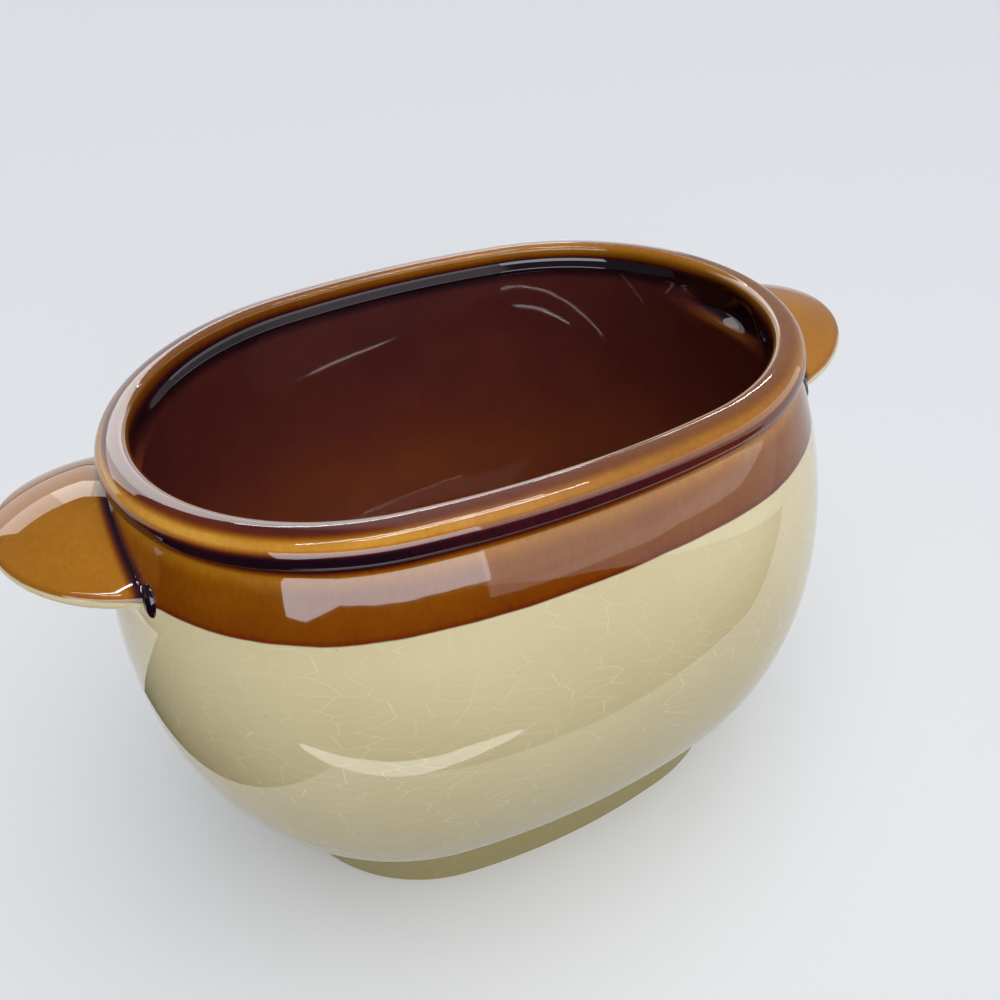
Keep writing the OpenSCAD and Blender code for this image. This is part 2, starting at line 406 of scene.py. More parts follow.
def new_material(name):
    """A new material with a Principled shader, and its tree."""
    material = bpy.data.materials.new(name)
    material.use_nodes = True
    return material, material.node_tree, material.node_tree.nodes["Principled BSDF"]


def per_mm(size):
    """Texture scale for a pattern that repeats about once in that many millimetres."""
    return 1 / (size * MM)


# Colours of the brown glaze from thin to pooled, on the outside and in the darker inside
OUTSIDE_STOPS = (
    (0.0, "#D8A344"), (0.16, "#B87A22"), (0.34, "#945A0E"), (0.5, "#7C4206"), (0.64, "#6A2A08"),
    (0.8, "#45161A"), (1.0, "#1A0A14"),
)
INSIDE_STOPS = ((0.0, "#B9772E"), (0.25, "#9C5428"), (0.5, "#813F32"), (0.75, "#592830"), (1.0, "#1A0B1A"))


def honey_colour(tree, place, depth, stops):
    """Colour of the honey-brown glaze by its depth, with clouds and fine streaks that ran down."""
    cloud = add_node(tree, "ShaderNodeTexNoise", {"Vector": place, "Scale": per_mm(16), "Detail": 3.0})
    upright = add_node(tree, "ShaderNodeMapping", {"Vector": place, "Scale": (1, 1, 0.1)})
    streak = add_node(
        tree, "ShaderNodeTexNoise", {"Vector": upright.outputs[0], "Scale": per_mm(0.9), "Detail": 2.0}
    )
    cloud_part = add_node(
        tree, "ShaderNodeMath", {0: cloud.outputs[0], 1: 0.2, 2: -0.15}, operation="MULTIPLY_ADD"
    )
    both = add_node(
        tree, "ShaderNodeMath", {0: streak.outputs[0], 1: 0.1, 2: cloud_part.outputs[0]},
        operation="MULTIPLY_ADD",
    )
    total = add_node(tree, "ShaderNodeMath", {0: depth, 1: both.outputs[0]}, operation="ADD")
    ramp = add_node(tree, "ShaderNodeValToRGB", {0: total.outputs[0]}, stops=stops)
    return ramp.outputs[0]


def cream_colour(tree, place):
    """Colour of the cream glaze: clouded, darkened to tan towards the foot as painted shade, with pale
    craze lines and iron specks.
    """
    cloud = add_node(tree, "ShaderNodeTexNoise", {"Vector": place, "Scale": per_mm(30), "Detail": 3.0})
    body = add_node(
        tree, "ShaderNodeValToRGB", {0: cloud.outputs[0]}, stops=((0.3, "#D4C8A2"), (0.7, "#CDBE97"))
    )
    height = add_node(tree, "ShaderNodeSeparateXYZ", {0: place}).outputs["Z"]
    # Painted shade: the cream darkens to tan from 98 mm down to 35 mm, where the lower belly and the foot
    # turn from the light
    low = add_node(tree, "ShaderNodeMapRange", {0: height, 1: 35 * MM, 2: 98 * MM, 3: 1.0, 4: 0.0})
    belly_with_painted_low_shade = add_node(
        tree, "ShaderNodeMix", {0: low.outputs[0], 6: body.outputs[0], 7: linear("#8C8052")},
        data_type="RGBA",
    )
    kept = add_node(tree, "ShaderNodeMapRange", {0: low.outputs[0], 1: 0.3, 2: 1.0, 3: 1.0, 4: 0.25})
    lines = add_node(
        tree, "ShaderNodeMath", {0: craze_lines(tree, place), 1: kept.outputs[0]}, operation="MULTIPLY"
    )
    crazed = add_node(
        tree, "ShaderNodeMix", {0: lines.outputs[0], 6: belly_with_painted_low_shade.outputs[2], 7: linear("#E2D7AE")},
        data_type="RGBA",
    )
    spots = add_node(
        tree, "ShaderNodeTexVoronoi", {"Vector": place, "Scale": per_mm(11)}, feature="F1"
    )
    speck = add_node(
        tree, "ShaderNodeMapRange", {0: spots.outputs["Distance"], 1: 0.012, 2: 0.03, 3: 0.4, 4: 0.0}
    )
    specked = add_node(
        tree, "ShaderNodeMix",
        {0: speck.outputs[0], 6: crazed.outputs[2], 7: linear("#7A6A45")}, data_type="RGBA",
    )
    return specked.outputs[2]


def craze_lines(tree, place):
    """Strength of the craze lines: fine, long, bowed cracks that lie mostly level, in patches."""
    # Cells about 7.5 mm long and 2.7 mm high; real cracks are hairlines, drawn 0.2 mm wide here to show
    height = add_node(tree, "ShaderNodeSeparateXYZ", {0: place}).outputs["Z"]
    length = add_node(tree, "ShaderNodeAttribute", attribute_name="round").outputs["Fac"]
    metres = add_node(tree, "ShaderNodeMath", {0: length, 1: MM}, operation="MULTIPLY")
    flat = add_node(tree, "ShaderNodeCombineXYZ", {"X": metres.outputs[0], "Y": height})
    bend = add_node(tree, "ShaderNodeTexNoise", {"Vector": place, "Scale": per_mm(11), "Detail": 1.0})
    moved = add_node(
        tree, "ShaderNodeVectorMath",
        {0: bend.outputs["Color"], 1: (6 * MM, 6 * MM, 0), 2: flat.outputs[0]}, operation="MULTIPLY_ADD",
    )
    level = add_node(tree, "ShaderNodeMapping", {"Vector": moved.outputs[0], "Scale": (0.4, 1.1, 1)})
    cells = add_node(
        tree, "ShaderNodeTexVoronoi", {"Vector": level.outputs[0], "Scale": per_mm(3.0)},
        feature="DISTANCE_TO_EDGE", voronoi_dimensions="2D",
    )
    line = add_node(
        tree, "ShaderNodeMapRange", {0: cells.outputs["Distance"], 1: 0.007, 2: 0.028, 3: 0.45, 4: 0.0}
    )
    patch = add_node(tree, "ShaderNodeTexNoise", {"Vector": place, "Scale": per_mm(9), "Detail": 2.0})
    shown = add_node(
        tree, "ShaderNodeMapRange", {0: patch.outputs[0], 1: 0.32, 2: 0.56, 3: 0.15, 4: 1.0}
    )
    # The lines fade before the middle of the back, where the length round the pot starts again
    seam = HALF_ROUND / MM
    away = add_node(tree, "ShaderNodeMath", {0: length}, operation="ABSOLUTE")
    kept = add_node(
        tree, "ShaderNodeMapRange", {0: away.outputs[0], 1: seam - 12, 2: seam - 4, 3: 1.0, 4: 0.0}
    )
    strength = add_node(
        tree, "ShaderNodeMath", {0: line.outputs[0], 1: shown.outputs[0]}, operation="MULTIPLY"
    )
    faded = add_node(
        tree, "ShaderNodeMath", {0: strength.outputs[0], 1: kept.outputs[0]}, operation="MULTIPLY"
    )
    return faded.outputs[0]


def glaze_ripple(tree, place):
    """Normal of a fired glaze: a faint, slow ripple."""
    ripple = add_node(tree, "ShaderNodeTexNoise", {"Vector": place, "Scale": per_mm(7), "Detail": 1.0})
    bump = add_node(
        tree, "ShaderNodeBump", {"Height": ripple.outputs[0], "Strength": 0.05, "Distance": 0.4 * MM}
    )
    return bump.outputs[0]


def finish_glaze(tree, shader, colour, place):
    """A glassy coat: smooth, with the refractive index of a stoneware glaze."""
    tree.links.new(colour, shader.inputs["Base Color"])
    tree.links.new(glaze_ripple(tree, place), shader.inputs["Normal"])
    shader.inputs["Roughness"].default_value = 0.035
    shader.inputs["IOR"].default_value = 1.52


def honey_glaze(name, stops):
    """Honey-brown glaze, fired glossy over a buff body: its depth of colour is its thickness, and in the
    rim's channel and the hollows inside also painted shade.
    """
    material, tree, shader = new_material(name)
    place = add_node(tree, "ShaderNodeTexCoord").outputs["Object"]
    depth = add_node(tree, "ShaderNodeAttribute", attribute_name="glaze").outputs["Fac"]
    finish_glaze(tree, shader, honey_colour(tree, place, depth, stops), place)
    return material


def dipped_glaze():
    """Cream glaze with honey-brown dipped over it: a crisp line that wanders, darker along its edge."""
    material, tree, shader = new_material("dipped_glaze")
    place = add_node(tree, "ShaderNodeTexCoord").outputs["Object"]
    depth = add_node(tree, "ShaderNodeAttribute", attribute_name="glaze").outputs["Fac"]
    dip = add_node(tree, "ShaderNodeAttribute", attribute_name="dip").outputs["Fac"]
    wander = add_node(tree, "ShaderNodeTexNoise", {"Vector": place, "Scale": per_mm(17), "Detail": 3.0})
    line = add_node(
        tree, "ShaderNodeMath", {0: wander.outputs[0], 1: 0.8, 2: dip}, operation="MULTIPLY_ADD"
    )
    above = add_node(
        tree, "ShaderNodeMapRange", {0: line.outputs[0], 1: 0.2, 2: 0.6, 3: 0.0, 4: 1.0},
        interpolation_type="SMOOTHSTEP",
    )
    edge = add_node(
        tree, "ShaderNodeMapRange", {0: line.outputs[0], 1: 0.4, 2: 1.6, 3: 0.12, 4: 0.0}
    )
    deeper = add_node(tree, "ShaderNodeMath", {0: depth, 1: edge.outputs[0]}, operation="ADD")
    brown = honey_colour(tree, place, deeper.outputs[0], OUTSIDE_STOPS)
    colour = add_node(
        tree, "ShaderNodeMix", {0: above.outputs[0], 6: cream_colour(tree, place), 7: brown},
        data_type="RGBA",
    )
    finish_glaze(tree, shader, colour.outputs[2], place)
    return material


def bare_clay():
    """Unglazed buff stoneware on the foot and underneath: matte and gritty."""
    material, tree, shader = new_material("bare_buff_stoneware")
    place = add_node(tree, "ShaderNodeTexCoord").outputs["Object"]
    grit = add_node(tree, "ShaderNodeTexNoise", {"Vector": place, "Scale": per_mm(0.8), "Detail": 4.0})
    body = add_node(
        tree, "ShaderNodeValToRGB", {0: grit.outputs[0]}, stops=((0.3, "#A9946E"), (0.7, "#C4B28B"))
    )
    bump = add_node(
        tree, "ShaderNodeBump", {"Height": grit.outputs[0], "Strength": 0.25, "Distance": 0.2 * MM}
    )
    tree.links.new(body.outputs[0], shader.inputs["Base Color"])
    tree.links.new(bump.outputs[0], shader.inputs["Normal"])
    shader.inputs["Roughness"].default_value = 0.85
    return material


# Pieces


def outside_coat(name, low, high, material, node):
    """Glaze coat of the bowl's outside between two heights, filled out at the lugs and the groove."""
    line = Profile(wall_offset(0, low), low)
    for middle_r, until in ((LOWER_R, min(BELLY_Z, high)), (UPPER_R, high)):
        if until > line.tip.co.z:
            line.arc_to(BELLY_OUT - middle_r, BELLY_Z, until, OUTSIDE_STEP)
    line.straight(wall_offset(-COAT, high), high)
    for middle_r, until in ((UPPER_R, max(BELLY_Z, low)), (LOWER_R, low)):
        if until < line.tip.co.z:
            line.arc_to(BELLY_OUT - middle_r, BELLY_Z, until, HIDDEN_STEP)
    line.close()
    spin_round_oval(line.mesh)
    piece = make_piece(name, line.mesh, material, [node])
    places = vertex_places(piece.data)
    z = places[:, 2].copy()
    d, outward = oval_frame(places)
    outer = d > wall_offset(-COAT / 2, z)
    gap = lug_gap(places)
    filled = fillet(gap, CORNER_REACH) + fillet(GROOVE_Z - z, GROOVE_REACH)
    places[:, :2] += outward * np.where(outer, filled, 0)[:, None]
    move_vertices(piece.data, places)
    # Up the neck the glaze goes from a deep edge to a thin band, and then to the pool in the groove
    up = (z - BROWN_Z) / (GROOVE_Z - BROWN_Z)
    even = EVEN + 0.1 * (1 - smooth_step(0, 0.55, up)) - 0.2 * smooth_step(0.6, 0.84, up)
    brown = smooth_step(BROWN_Z - 1.5 * MM, BROWN_Z + 1.5 * MM, z)
    pool = brown * (1 - smooth_step(POOL_CORE, POOL_REACH, gap))
    pool = np.maximum(pool, smooth_step(0.86, 0.95, up) * (1 - RUN_POOL * run_off(places)))
    set_attribute(piece.data, "glaze", even + (POOLED - even) * pool)
    set_attribute(piece.data, "dip", (z - BROWN_Z) / MM)
    set_attribute(piece.data, "round", oval_length(places))
    return piece


def glaze_drop(side, front, name, material):
    """Drop of pooled glaze that hangs at a lower corner between a lug and the neck."""
    mesh = bmesh.new()
    bmesh.ops.create_uvsphere(mesh, u_segments=32, v_segments=20, radius=1)
    bmesh.ops.scale(mesh, verts=mesh.verts, vec=(DROP_OUT, DROP_WIDE, DROP_HIGH))
    reach = END_R + float(wall_offset(0, DROP_Z))
    turn = math.asin(DROP_Y / reach)
    lean = Matrix.Rotation(DROP_LEAN, 4, "X") @ Matrix.Rotation(DROP_TIP, 4, "Y")
    mesh.transform(Matrix.Rotation(turn, 4, "Z") @ lean)
    middle = (END_X + reach * math.cos(turn), reach * math.sin(turn), DROP_Z)
    bmesh.ops.translate(mesh, verts=mesh.verts, vec=middle)
    bmesh.ops.scale(mesh, verts=mesh.verts, vec=(side, -front, 1))
    bmesh.ops.recalc_face_normals(mesh, faces=mesh.faces)
    piece = make_piece(name, mesh, material, ["neck_brown_glaze"])
    set_attribute(piece.data, "glaze", np.full(len(piece.data.vertices), POOLED))
    return piece


def rim_coat(material):
    """Glaze coat of the rim: outer roll, top, inner lip and the channel under the lip."""
    line = Profile(-GROOVE_IN, GROOVE_Z)
    line.arc_to(-FACE_R, EDGE_Z, EDGE_Z, FINE_STEP)
    line.arc(-EDGE_R, EDGE_Z, 90 - math.degrees(EDGE_TILT), FINE_STEP)
    line.arc(RIM_MIDDLE, TOP_Z - CROWN_R, math.degrees(EDGE_TILT + LIP_TILT), FINE_STEP)
    lip = (LIP_D, LIP_Z)
    ridge = (RIDGE_D, RIDGE_Z)
    channel = touching_centre(ridge, CHANNEL_R + RIDGE_R, lip, CHANNEL_R + LIP_R)
    lip_end = math.atan2(channel.y - LIP_Z, channel.x - LIP_D) % (2 * math.pi)
    ridge_end = math.atan2(channel.y - RIDGE_Z, channel.x - RIDGE_D)
    line.arc(*lip, math.degrees(lip_end - math.pi / 2 - LIP_TILT), FINE_STEP)
    line.arc(*channel, math.degrees(ridge_end - lip_end), FINE_STEP)
    line.arc(*ridge, math.degrees(math.pi - ridge_end), FINE_STEP)
    line.close()
    spin_round_oval(line.mesh)
    piece = make_piece("rim_coat", line.mesh, material, ["rim_brown_glaze", "rim_bead"])
    places = vertex_places(piece.data)
    z = places[:, 2].copy()
    d, outward = oval_frame(places)
    outer = d > RIM_MIDDLE
    hollow = hollow_push(places, outward) * (1 - smooth_step(RIDGE_Z + MM, LIP_Z, z))
    moved = np.where(outer, fillet(z - GROOVE_Z, GROOVE_REACH), hollow)
    places[:, :2] += outward * moved[:, None]
    move_vertices(piece.data, places)
    run = run_off(places)
    # The band of full glaze on the top, the pool in the groove, and the channel under the lip darkened
    # fully: pooled glaze and painted shade
    top = smooth_step(1.4 * MM, 3.0 * MM, -d) * (1 - smooth_step(5.2 * MM, 6.2 * MM, -d))
    channel_pool_and_shade = np.where(outer, 0, 1 - smooth_step(LIP_Z - 2.6 * MM, LIP_Z - 0.2 * MM, z))
    groove_pool = np.where(outer, 1 - smooth_step(GROOVE_Z + 2.4 * MM, GROOVE_Z + 4.2 * MM, z), 0)
    groove_pool *= 1 - RUN_POOL * run
    roll = THIN + 0.2 * smooth_step(-40 * MM, 15 * MM, places[:, 0])
    thin = np.where(outer, roll, LIP_DEPTH - RUN_COAT * run)
    glaze = thin + (FULL - RUN_COAT * run - thin) * top
    glaze += (POOLED - glaze) * np.maximum(channel_pool_and_shade, groove_pool)
    set_attribute(piece.data, "glaze", glaze)
    return piece


def hollow_push(places, outward):
    """How far the hollows behind the lugs, open to the channel above, carry inside points outwards."""
    hollow_z = TOP_Z - HOLLOW_DROP
    half = HOLLOW_HIGH / 2
    inner_r = END_R + wall_offset(-WALL, hollow_z)
    bulge = inner_r + HOLLOW_IN - math.sqrt(inner_r ** 2 - HOLLOW_WIDTH ** 2 / 4)
    hollow_r = (bulge ** 2 + HOLLOW_WIDTH ** 2 / 4) / (2 * bulge)
    hollow_x = END_X + inner_r + HOLLOW_IN - hollow_r
    lean = HOLLOW_LEAN * np.maximum(places[:, 2] - hollow_z, 0)
    below = np.minimum(places[:, 2] - hollow_z, 0)
    least = np.zeros(len(places))
    most = np.full(len(places), 3 * HOLLOW_IN)
    for _ in range(24):
        push = (least + most) / 2
        x = places[:, 0] + outward[:, 0] * push
        y = places[:, 1] + outward[:, 1] * push
        reach = np.hypot(np.abs(x) - hollow_x, y)
        hollow = np.hypot(np.maximum(reach + lean - hollow_r + half, 0), below) - half
        blend = np.clip(1 - np.abs(hollow - push) / HOLLOW_ROUND, 0, 1)
        inside = np.minimum(hollow, push) - blend ** 2 * HOLLOW_ROUND / 4 < 0
        least = np.where(inside, push, least)
        most = np.where(inside, most, push)
    return np.where(np.abs(places[:, 0]) > hollow_x, least, 0)


def run_inside(line, grow, fine, coarse):
    """Runs a profile down the inside, grown by grow into the wall: the wall and the turn into the floor."""
    meet_z = BELLY_Z - (BELLY_Z - TURN_Z) * (LOWER_R - WALL + grow) / TURN_REACH
    line.arc_to(BELLY_OUT - UPPER_R, BELLY_Z, FINE_Z, fine)
    line.arc_to(BELLY_OUT - UPPER_R, BELLY_Z, BELLY_Z, coarse)
    line.arc_to(BELLY_OUT - LOWER_R, BELLY_Z, meet_z, coarse)
    line.arc_to(TURN_D, TURN_Z, FLOOR_Z - grow, coarse)


def bowl_clay(material):
    """Clay of the bowl between its coats, bare on the underside of the floor."""
    top_z = RIDGE_Z - COAT
    depth = 2 * COAT
    line = Profile(wall_offset(-depth, FOOT_Z), FOOT_Z)
    line.arc_to(BELLY_OUT - LOWER_R, BELLY_Z, BELLY_Z, HIDDEN_STEP)
    line.arc_to(BELLY_OUT - UPPER_R, BELLY_Z, top_z, HIDDEN_STEP)
    line.straight(wall_offset(depth - WALL, top_z), top_z)
    run_inside(line, depth, PROFILE_STEP, HIDDEN_STEP)
    spin_round_oval(line.mesh)
    close_floor(line.mesh)
    piece = make_piece("bowl_clay", line.mesh, material, ["bowl_body"])
    places = vertex_places(piece.data)
    d, outward = oval_frame(places)
    inner = d < wall_offset(-WALL / 2, places[:, 2])
    face = places.copy()
    face[:, :2] -= outward * depth
    places[:, :2] += outward * np.where(inner, hollow_push(face, outward), 0)[:, None]
    move_vertices(piece.data, places)
    return piece


def inside_coat(material):
    """Glaze coat of the inside: the wall, the turn into the floor, and the hollows behind the lugs."""
    ridge_turn = math.atan2(RIDGE_Z - BELLY_Z, RIDGE_D - BELLY_OUT + UPPER_R)
    meet_share = (LOWER_R - WALL + COAT) / TURN_REACH
    line = Profile(TURN_D, FLOOR_Z - COAT)
    line.arc_to(TURN_D, TURN_Z, BELLY_Z - (BELLY_Z - TURN_Z) * meet_share, HIDDEN_STEP)
    line.arc_to(BELLY_OUT - LOWER_R, BELLY_Z, BELLY_Z, HIDDEN_STEP)
    line.arc_to(BELLY_OUT - UPPER_R, BELLY_Z, FINE_Z, HIDDEN_STEP)
    line.arc_to(BELLY_OUT - UPPER_R, BELLY_Z, RIDGE_Z)
    line.straight(RIDGE_D - RIDGE_R, RIDGE_Z, FINE_STEP)
    line.arc(RIDGE_D, RIDGE_Z, math.degrees(ridge_turn), FINE_STEP)
    run_inside(line, 0, FINE_STEP, PROFILE_STEP)
    spin_round_oval(line.mesh)
    close_floor(line.mesh)
    piece = make_piece("inside_coat", line.mesh, material, ["inside_brown_glaze"])
    places = vertex_places(piece.data)
    z = places[:, 2].copy()
    d, outward = oval_frame(places)
    back = (z > BELLY_Z) & (d > wall_offset(COAT / 2 - WALL, z))
    face = places.copy()
    face[:, :2] -= outward * np.where(back, COAT, 0)[:, None]
    push = hollow_push(face, outward)
    along = np.clip(1 - (places[:, 1] / MOUND_WIDE) ** 2, 0, 1) * (np.abs(places[:, 0]) > END_X)
    mound = along * np.exp(-((z - MOUND_Z) / MOUND_HIGH) ** 2)
    places[:, :2] += outward * (push - MOUND_OUT * mound * ~back)[:, None]
    move_vertices(piece.data, places)
    # The colour darkens up the wall and more just under the channel, is thin on the mounds, and in the
    # hollows is pooled glaze with painted shade
    glaze = INSIDE_DEPTH + 0.25 * smooth_step(50 * MM, 105 * MM, z)
    glaze += 0.35 * smooth_step(112 * MM, 115.5 * MM, z)
    # Painted shade: inside the hollows the colour goes to the darkest pool, for pooled glaze and the shade
    # in them
    hollow_pool_and_shade = smooth_step(1.2 * MM, 2.4 * MM, push)
    glaze += (THIN - glaze) * mound * (1 - hollow_pool_and_shade)
    glaze += (POOLED - glaze) * hollow_pool_and_shade
    set_attribute(piece.data, "glaze", glaze)
    return piece


def lug(side, name, material):
    """One lug handle: a domed disc with a round edge, tipped up and seated on the neck."""
    mesh = bmesh.new()
    dome_turn = math.asin(LUG_EDGE_X / (LUG_DOME_R - LUG_EDGE_R))
    tip = mesh.verts.new((0, 0, LUG_DOME_Z + LUG_DOME_R))
    stretches = (
        ((0, 0, LUG_DOME_Z), dome_turn, LUG_DOME_R),
        ((LUG_EDGE_X, 0, 0), math.pi - dome_turn, LUG_EDGE_R),
    )
    for centre, turn, radius in stretches:
        count = steps_for(turn * radius, FINE_STEP)
        made = bmesh.ops.spin(mesh, geom=[tip], cent=centre, axis=(0, 1, 0), angle=turn, steps=count)
        tip = last_vertex(made)
    made = bmesh.ops.extrude_vert_indiv(mesh, verts=[tip])
    made["verts"][0].co = (0, 0, -LUG_EDGE_R)
    bmesh.ops.spin(
        mesh, geom=mesh.verts[:] + mesh.edges[:], cent=(0, 0, 0), axis=(0, 0, 1), angle=2 * math.pi,
        steps=steps_for(2 * math.pi * LUG_R, 2 * FINE_STEP), use_merge=True,
    )
    bmesh.ops.remove_doubles(mesh, verts=mesh.verts, dist=WELD)
    bmesh.ops.recalc_face_normals(mesh, faces=mesh.faces)
    heights = np.array([v.co.z for v in mesh.verts])
    mesh.transform(lug_frame(side))
    nodes = [f"{name}_lug", f"{name}_lug_brown_glaze", f"{name}_lug_cream_glaze"]
    piece = make_piece(f"{name}_handle", mesh, material, nodes)
    places = vertex_places(piece.data)
    normals = np.empty(len(places) * 3, np.float32)
    piece.data.vertex_normals.foreach_get("vector", normals)
    d, outward = oval_frame(places)
    gap = d - wall_offset(0, np.minimum(places[:, 2], GROOVE_Z))
    dome = (gap > -COAT) & (heights > 0)
    places += normals.reshape(-1, 3) * np.where(dome, fillet(gap, CORNER_REACH), 0)[:, None]
    places[:, :2] += outward * np.maximum(-2 * COAT - gap, 0)[:, None]
    move_vertices(piece.data, places)
    pool = 1 - smooth_step(POOL_CORE, POOL_REACH, gap)
    set_attribute(piece.data, "glaze", LUG_DEPTH + (POOLED - LUG_DEPTH) * pool)
    set_attribute(piece.data, "dip", heights / MM - LUG_LINE)
    set_attribute(piece.data, "round", oval_length(places))
    return piece


def foot_offset(z):
    """Offset of the foot's glazed side at height z."""
    return FOOT_FLARE * (1 - z / FOOT_Z) - FOOT_IN


def foot_coat(material):
    """Cream coat of the foot's side."""
    line = Profile(foot_offset(BARE_Z) - COAT, BARE_Z)
    line.straight(foot_offset(BARE_Z), BARE_Z)
    line.straight(foot_offset(FOOT_Z), FOOT_Z)
    line.straight(foot_offset(FOOT_Z) - COAT, FOOT_Z)
    line.close()
    spin_round_oval(line.mesh)
    piece = make_piece("foot_coat", line.mesh, material, ["foot_cream_glaze"])
    places = vertex_places(piece.data)
    count = len(places)
    set_attribute(piece.data, "round", oval_length(places))
    set_attribute(piece.data, "glaze", np.full(count, EVEN))
    set_attribute(piece.data, "dip", np.full(count, FAR_BELOW))
    return piece


def foot_clay(material):
    """Bare ring that the tureen stands on, with its lower edges rounded."""
    inner = -FOOT_IN - FOOT_WIDTH
    outer_low = foot_offset(FOOT_EDGE_R) - COAT
    line = Profile(inner, FOOT_Z)
    line.straight(inner, FOOT_EDGE_R)
    line.arc(inner + FOOT_EDGE_R, FOOT_EDGE_R, 90, FINE_STEP)
    line.straight(outer_low - FOOT_EDGE_R, 0)
    line.arc(outer_low - FOOT_EDGE_R, FOOT_EDGE_R, 90, FINE_STEP)
    line.straight(foot_offset(FOOT_Z) - COAT, FOOT_Z)
    line.close()
    spin_round_oval(line.mesh)
    return make_piece("foot_clay", line.mesh, material, ["foot_ring"])


dipped = dipped_glaze()
honey = honey_glaze("honey_brown_glaze", OUTSIDE_STOPS)
dark_honey = honey_glaze("dark_inside_glaze", INSIDE_STOPS)
clay = bare_clay()
outside_coat("belly_coat", FOOT_Z, BROWN_Z, dipped, "belly_cream_glaze")
outside_coat("neck_coat", BROWN_Z, GROOVE_Z, dipped, "neck_brown_glaze")
rim_coat(honey)
inside_coat(dark_honey)
lug(-1, "left", dipped)
lug(1, "right", dipped)
for end_name, side in (("left", -1), ("right", 1)):
    for face_name, front in (("front", 1), ("back", -1)):
        glaze_drop(side, front, f"{end_name}_{face_name}_drop", honey)
foot_coat(dipped)
foot_clay(clay)
bowl_clay(clay)


# Stage: floor, light and camera


def add_to_stage(name, mesh, material):
    """Turns a bmesh into an object of the stage, which isn't part of the tureen."""
    data = bpy.data.meshes.new(name)
    mesh.to_mesh(data)
    mesh.free()
    data.materials.append(material)
    thing = bpy.data.objects.new(name, data)
    bpy.context.scene.collection.objects.link(thing)
    return thing


def make_floor():
    """Plain pale floor that fills the picture, fully matte so that the light box does not show on it."""
    material, _, shader = new_material("pale_floor")
    shader.inputs["Base Color"].default_value = linear("#F0F2F6")
    shader.inputs["Roughness"].default_value = 1
    shader.inputs["Specular IOR Level"].default_value = 0
    mesh = bmesh.new()
    bmesh.ops.create_circle(mesh, cap_ends=True, segments=64, radius=8)
    add_to_stage("floor", mesh, material)


def add_softbox(name, place, target, width, height, radiance):
    """Area lamp of a given brightness, turned to the target with its width level."""
    lamp = bpy.data.lights.new(name, "AREA")
    lamp.shape = "RECTANGLE"
    lamp.size = width
    lamp.size_y = height
    lamp.energy = radiance * math.pi * width * height
    box = bpy.data.objects.new(name, lamp)
    box.location = place
    box.rotation_euler = (Vector(target) - Vector(place)).to_track_quat("-Z", "Y").to_euler()
    box.visible_camera = False
    box.visible_diffuse = False
    bpy.context.scene.collection.objects.link(box)
    return box


def flat_card(low, high):
    """Rectangle a little above the floor, between two corners."""
    mesh = bmesh.new()
    bmesh.ops.create_grid(mesh, size=0.5)
    bmesh.ops.scale(mesh, verts=mesh.verts, vec=(high[0] - low[0], high[1] - low[1], 1))
    middle = ((low[0] + high[0]) / 2, (low[1] + high[1]) / 2, 2 * MM)
    bmesh.ops.translate(mesh, verts=mesh.verts, vec=middle)
    return mesh


def oval_card(middle, half_length, half_width, turn):
    """Oval a little above the rectangles, turned by so many degrees."""
    mesh = bmesh.new()
    bmesh.ops.create_circle(mesh, cap_ends=True, segments=64, radius=1)
    bmesh.ops.scale(mesh, verts=mesh.verts, vec=(half_length, half_width, 1))
    mesh.transform(Matrix.Rotation(math.radians(turn), 4, "Z"))
    bmesh.ops.translate(mesh, verts=mesh.verts, vec=(middle[0], middle[1], 3 * MM))
    return mesh


def window_card(place, target):
    """Upright window pane turned to the target: its sill is level on the right and falls to the left."""
    head = 0.3
    sill_left = (-0.66, -0.33)
    sill_turn = (-0.19, -0.145)
    sill_right = (0.79, -0.15)
    mesh = bmesh.new()
    bmesh.ops.create_grid(mesh, x_segments=2, y_segments=1, size=0.75)
    top = [vert for vert in mesh.verts if vert.co.y > 0]
    bottom = sorted((vert for vert in mesh.verts if vert.co.y < 0), key=lambda vert: vert.co.x)
    for vert in top:
        vert.co.y = head
    for vert, corner in zip(bottom, (sill_left, sill_turn, sill_right)):
        vert.co.xy = corner
    facing = (Vector(target) - Vector(place)).to_track_quat("-Z", "Y").to_matrix().to_4x4()
    mesh.transform(Matrix.Translation(place) @ facing)
    return mesh


def add_flag(name, mesh, radiance, tint="#FFFFFF"):
    """Card that only reflections see: dark, or lit where radiance isn't 0."""
    material, _, shader = new_material(name)
    shader.inputs["Base Color"].default_value = linear("#0A0A0A")
    shader.inputs["Specular IOR Level"].default_value = 0
    shader.inputs["Emission Color"].default_value = linear(tint)
    shader.inputs["Emission Strength"].default_value = radiance
    flag = add_to_stage(name, mesh, material)
    flag.visible_camera = False
    flag.visible_diffuse = False
    flag.visible_shadow = False


def make_world():
    """Pale surroundings, brighter towards the right: a weak fill, and what the glaze mirrors."""
    world = bpy.data.worlds.new("studio")
    world.use_nodes = True
    tree = world.node_tree
    back = tree.nodes["Background"]
    way = add_node(tree, "ShaderNodeTexCoord").outputs["Generated"]
    across = add_node(tree, "ShaderNodeSeparateXYZ", {0: way}).outputs["X"]
    fill = add_node(tree, "ShaderNodeMapRange", {0: across, 1: -0.8, 2: 0.4, 3: 0.12, 4: 0.5})
    rise = add_node(tree, "ShaderNodeMapRange", {0: across, 1: -0.03, 2: 0.08, 3: 0.15, 4: 1.0})
    fall = add_node(tree, "ShaderNodeMapRange", {0: across, 1: 0.3, 2: 0.75, 3: 1.0, 4: 0.55})
    mirrored = add_node(
        tree, "ShaderNodeMath", {0: rise.outputs[0], 1: fall.outputs[0]}, operation="MULTIPLY"
    )
    path = add_node(tree, "ShaderNodeLightPath")
    strength = add_node(
        tree, "ShaderNodeMix",
        {0: path.outputs["Is Glossy Ray"], 2: fill.outputs[0], 3: mirrored.outputs[0]},
    )
    back.inputs["Color"].default_value = linear("#EDEFF2")
    tree.links.new(strength.outputs[0], back.inputs["Strength"])
    bpy.context.scene.world = world


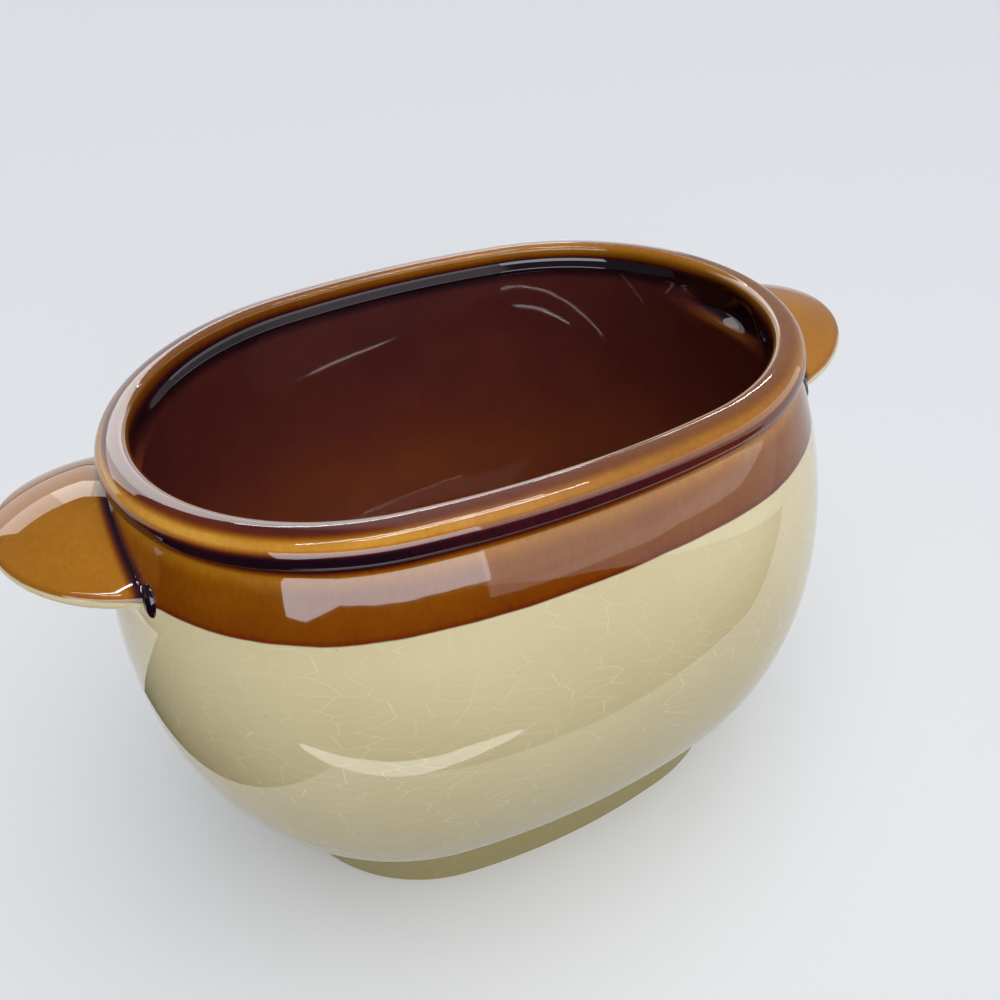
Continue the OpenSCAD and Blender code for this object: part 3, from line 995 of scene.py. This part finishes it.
def add_sun():
    """Broad, soft main light from above and a little in front."""
    lamp = bpy.data.lights.new("sun", "SUN")
    lamp.energy = 1.7
    lamp.angle = math.radians(80)
    sun = bpy.data.objects.new("sun", lamp)
    sun.rotation_euler = Vector((-0.05, 0.35, -1)).to_track_quat("-Z", "Y").to_euler()
    sun.visible_glossy = False
    bpy.context.scene.collection.objects.link(sun)


def make_lights():
    """Soft sun and front fill, and a light box that only the glaze mirrors: walls, strips and cards."""
    middle_z = 0.08
    middle = (0, 0, middle_z)
    add_sun()
    fill = add_softbox("front_soft", (-0.25, -1.2, 0.4), middle, width=1.0, height=0.6, radiance=2.3)
    fill.visible_diffuse = True
    fill.visible_glossy = False
    # Wall panels and strips lie parallel to the tureen's length, because each faces a point at its own x
    wall_y = 0.5
    panel = 0.21
    for name, x, z, width, radiance in (
        ("wall_low", -0.125, 0.225, 1.15, 1.2),
        ("wall_high", 0.025, 0.435, 0.55, 4.5),
        ("wall_left", -0.375, 0.435, 0.25, 3.0),
    ):
        add_softbox(name, (x, wall_y, z), (x, 0, z), width, panel, radiance)
    for name, place, width, height, radiance in (
        ("back_strip", (0.25, 0.49, 0.543), 0.68, 0.004, 45),
        ("front_strip", (-0.085, -0.15, 0.45), 0.37, 0.005, 60),
        ("far_front_strip", (0.0, -0.21, 0.45), 0.32, 0.005, 80),
    ):
        add_softbox(name, place, (place[0], 0, middle_z), width, height, radiance)
    add_softbox("room", (1.017, -0.565, 0.16), (0.335, 0.166, 0.12), width=2.62, height=0.6, radiance=1.15)
    add_flag("window", window_card((-0.60, -1.1, 0.26), middle), radiance=6.2, tint="#E2F1FF")
    add_flag("dark_front", flat_card((-9.0, -9.0), (0.3, -0.125)), radiance=0)
    add_flag("dark_left", flat_card((-9.0, -0.125), (-0.3, 0.19)), radiance=0)
    # Painted shadow: a dark card, seen only in the glaze, that stands for the tureen's shadow on the floor
    # beside its left side
    add_flag("painted_floor_shadow_left", flat_card((-0.3, -0.125), (-0.118, 0.052)), radiance=0)
    add_flag("lit_right", flat_card((0.3, -2.0), (2.5, -0.2)), radiance=1.0)
    add_flag("lit_front", oval_card((-0.08, -0.1245), 0.075, 0.0085, -17), radiance=3.0)


def make_camera():
    """Camera at the photograph's viewing angle, in a square frame."""
    focal_pixels = 771.0
    frame_pixels = 1000
    sensor = 36
    place = Vector((-51.14, -140.51, 196.73)) * MM
    azimuth = math.radians(-22.03)
    elevation = math.radians(38.08)
    roll = math.radians(-4.54)
    level = math.cos(elevation)
    back = Vector((math.sin(azimuth) * level, -math.cos(azimuth) * level, math.sin(elevation)))
    data = bpy.data.cameras.new("camera")
    data.sensor_width = sensor
    data.lens = sensor * focal_pixels / frame_pixels
    data.clip_start = 5 * MM
    camera = bpy.data.objects.new("camera", data)
    turn = (-back).to_track_quat("-Z", "Y").to_matrix().to_4x4() @ Matrix.Rotation(roll, 4, "Z")
    camera.matrix_world = Matrix.Translation(place) @ turn
    bpy.context.scene.collection.objects.link(camera)
    bpy.context.scene.camera = camera


make_floor()
make_world()
make_lights()
make_camera()
bpy.context.scene.view_settings.view_transform = "Standard"

bpy.context.view_layer.update()
